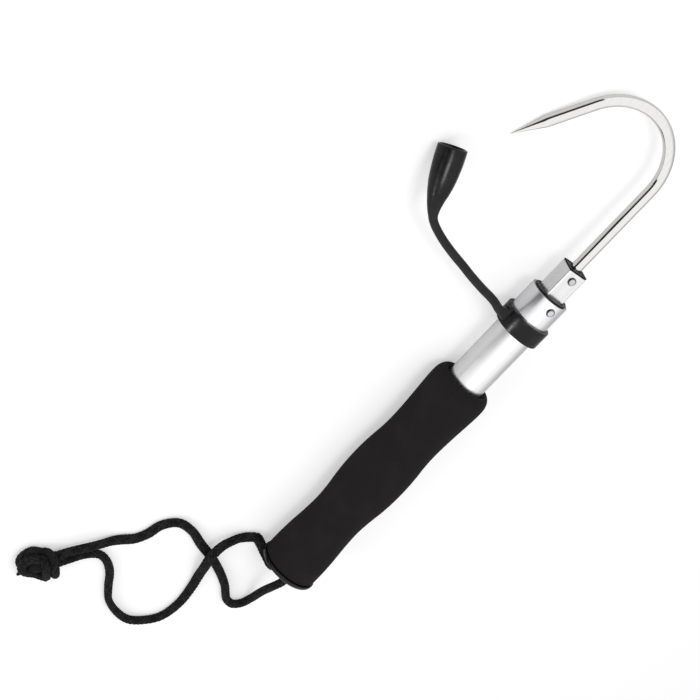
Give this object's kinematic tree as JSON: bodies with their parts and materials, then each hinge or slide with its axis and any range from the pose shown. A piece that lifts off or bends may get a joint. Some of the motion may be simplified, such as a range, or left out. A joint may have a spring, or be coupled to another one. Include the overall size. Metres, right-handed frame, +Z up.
{
  "type": "fishing gaff",
  "caption": "Telescopic hand gaff: waisted foam grip on a round tube, square inner tube, bent wire hook with a rubber point guard and a wrist lanyard.",
  "frame": {"origin": "on the table, under the middle of the box of everything but the lanyard", "axes": "+X along the handle from the butt towards the hook, +Y towards the hook's arm and the guard, +Z up"},
  "size_m": [0.4118, 0.1575, 0.0352],
  "materials": {
    "tube_aluminium": "satin",
    "ferrule_aluminium": "satin",
    "square_aluminium": "satin",
    "stainless_wire": "polished",
    "rivet_steel": "satin",
    "black_plastic": "satin",
    "white_nylon": "satin",
    "gloss_black": "gloss",
    "grip_foam": "matte",
    "guard_rubber": "satin",
    "cord": "matte"
  },
  "bodies": {
    "handle": {"outer_tube": "tube_aluminium", "mouth_ferrule": "ferrule_aluminium", "mouth_bush": "black_plastic", "bush_rivet_front": "rivet_steel", "bush_rivet_back": "rivet_steel", "grip": "grip_foam", "end_cap": "gloss_black", "lanyard_upper_leg": "cord", "lanyard_lower_leg": "cord", "lanyard_knot": "cord", "lanyard_bight": "cord"},
    "slider": {"inner_tube": "square_aluminium", "hook_plug": "black_plastic", "plug_rivet": "rivet_steel", "hook": "stainless_wire", "tail_guide": "white_nylon", "guide_pin": "rivet_steel", "lock_spring": "rivet_steel"},
    "lock_button": {"lock_button": "rivet_steel"},
    "guard_ring": {"guard_ring": "guard_rubber"},
    "guard_strap": {"guard_strap": "guard_rubber"},
    "guard_cap": {"guard_cap": "guard_rubber"}
  },
  "joints": [
    {"name": "tube_slide", "type": "slide", "parent": "handle", "child": "slider", "axis": [1, 0, 0], "range_m": [0, 0.1637]},
    {"name": "lock_press", "type": "slide", "parent": "slider", "child": "lock_button", "axis": [0, 0, 1], "range_m": [0, 0.0013], "stiffness_N_per_m": 300, "springref_m": -0.0015, "deforming": ["lock_spring"]},
    {"name": "guard_turn", "type": "hinge", "parent": "handle", "child": "guard_ring", "pos_m": [0.03276, -0.04931, 0.0176], "axis": [1, 0, 0], "continuous": true},
    {"name": "strap_bend", "type": "hinge", "parent": "guard_ring", "child": "guard_strap", "pos_m": [0.03276, -0.03276, 0.0176], "axis": [0, 0, 1], "range_deg": [-6, 45], "stiffness_Nm_per_rad": 0.01},
    {"name": "cap_bend", "type": "hinge", "parent": "guard_strap", "child": "guard_cap", "pos_m": [0.06283, 0.05402, 0.02064], "axis": [0, 0, 1], "range_deg": [-8, 40], "stiffness_Nm_per_rad": 0.005}
  ]
}
